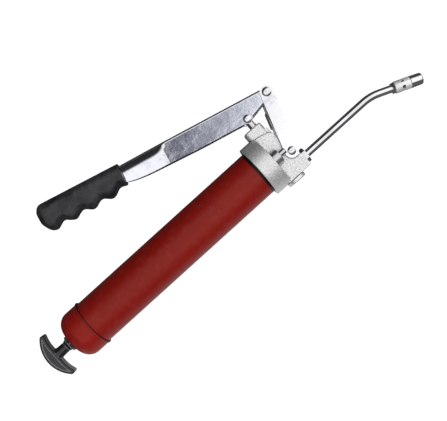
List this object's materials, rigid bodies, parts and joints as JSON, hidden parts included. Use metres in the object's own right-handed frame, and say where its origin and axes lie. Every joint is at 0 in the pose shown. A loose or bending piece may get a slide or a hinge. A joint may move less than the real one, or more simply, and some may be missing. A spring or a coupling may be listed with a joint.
{
  "type": "grease gun",
  "caption": "Lever-action grease gun: screw-off barrel with sprung follower and pull handle, cast head with link-driven lever and plunger, bent rigid extension with nipple coupler.",
  "frame": {"origin": "on the barrel's axis, halfway between the rim of the rear cap and the head's skirt", "axes": "+X along the barrel from the pull handle to the head, +Y from the barrel to the lever, +Z along the pivot pins; the gun lies on its side on its skirt and grip"},
  "size_m": [0.5547, 0.198, 0.0684],
  "materials": {
    "cast_aluminium": "as-cast, fine grain, turned skirt",
    "zinc_steel": "zinc plated",
    "matt_steel": "matt plated",
    "bright_steel": "polished",
    "hard_steel": "ground",
    "spring_steel": "drawn wire",
    "chromed_steel": "chrome plated",
    "black_vinyl": "dipped, fine grain",
    "black_rubber": "moulded",
    "black_plastic": "semi-gloss moulded",
    "red_paint": "gloss paint",
    "red_paint_cap": "gloss paint"
  },
  "bodies": {
    "head": {"head_casting": "cast_aluminium", "head_gasket": "black_rubber", "plunger_seal": "black_rubber", "end_plug": "zinc_steel", "plug_washer": "black_rubber", "outlet_nut": "zinc_steel", "extension_tube": "bright_steel", "coupler_locknut": "zinc_steel", "coupler_body": "matt_steel", "coupler_seal": "black_rubber", "coupler_spring": "spring_steel", "air_valve_body": "matt_steel", "air_valve_spring": "spring_steel", "check_spring": "spring_steel"},
    "nose": {"coupler_sleeve": "bright_steel", "coupler_jaws": "hard_steel"},
    "ball": {"check_ball": "hard_steel"},
    "stem": {"air_valve_stem": "bright_steel"},
    "plunger": {"plunger": "hard_steel"},
    "lever": {"lever_channel": "chromed_steel", "lever_grip": "black_vinyl", "plunger_pin": "hard_steel"},
    "link": {"link": "chromed_steel", "link_top_pin": "hard_steel", "link_lower_pin": "hard_steel"},
    "barrel": {"barrel_tube": "red_paint", "barrel_cap": "red_paint_cap", "follower_spring": "spring_steel"},
    "follower": {"follower_rod": "bright_steel", "t_handle": "black_plastic", "follower_cup": "black_rubber", "follower_washers": "zinc_steel", "follower_nut": "zinc_steel"}
  },
  "joints": [
    {"name": "lever_swing", "type": "hinge", "parent": "plunger", "child": "lever", "pos_m": [0.1638, 0.0552, 0], "axis": [0, 0, -1], "range_deg": [-8, 40]},
    {"name": "plunger_slide", "type": "slide", "parent": "head", "child": "plunger", "axis": [0, 1, 0], "range_m": [-0.0054, 0.0266]},
    {"name": "link_turn", "type": "hinge", "parent": "lever", "child": "link", "pos_m": [0.2013, 0.0636, 0], "axis": [0, 0, 1], "range_deg": [-8.3, 41.5]},
    {"name": "barrel_off", "type": "slide", "parent": "head", "child": "barrel", "axis": [-1, 0, 0], "range_m": [0, 0.025]},
    {"name": "handle_pull", "type": "slide", "parent": "barrel", "child": "follower", "axis": [-1, 0, 0], "range_m": [0, 0.22], "deforming": ["follower_spring"]},
    {"name": "air_valve_press", "type": "slide", "parent": "head", "child": "stem", "axis": [-1, 0, 0], "range_m": [0, 0.0018], "stiffness_N_per_m": 600, "deforming": ["air_valve_spring"]},
    {"name": "check_ball_lift", "type": "slide", "parent": "head", "child": "ball", "axis": [0, -1, 0], "range_m": [0, 0.0012], "stiffness_N_per_m": 200, "deforming": ["check_spring"]},
    {"name": "nose_turn", "type": "hinge", "parent": "head", "child": "nose", "pos_m": [0.337, -0.04081, 0], "axis": [0.9245, -0.3811, 0], "range_deg": [-180, 180]}
  ],
  "couplings": [
    {"joint": "plunger_slide", "follows": "lever_swing", "m_per_rad": 0.037986},
    {"joint": "link_turn", "follows": "lever_swing", "ratio": 1.0311}
  ]
}
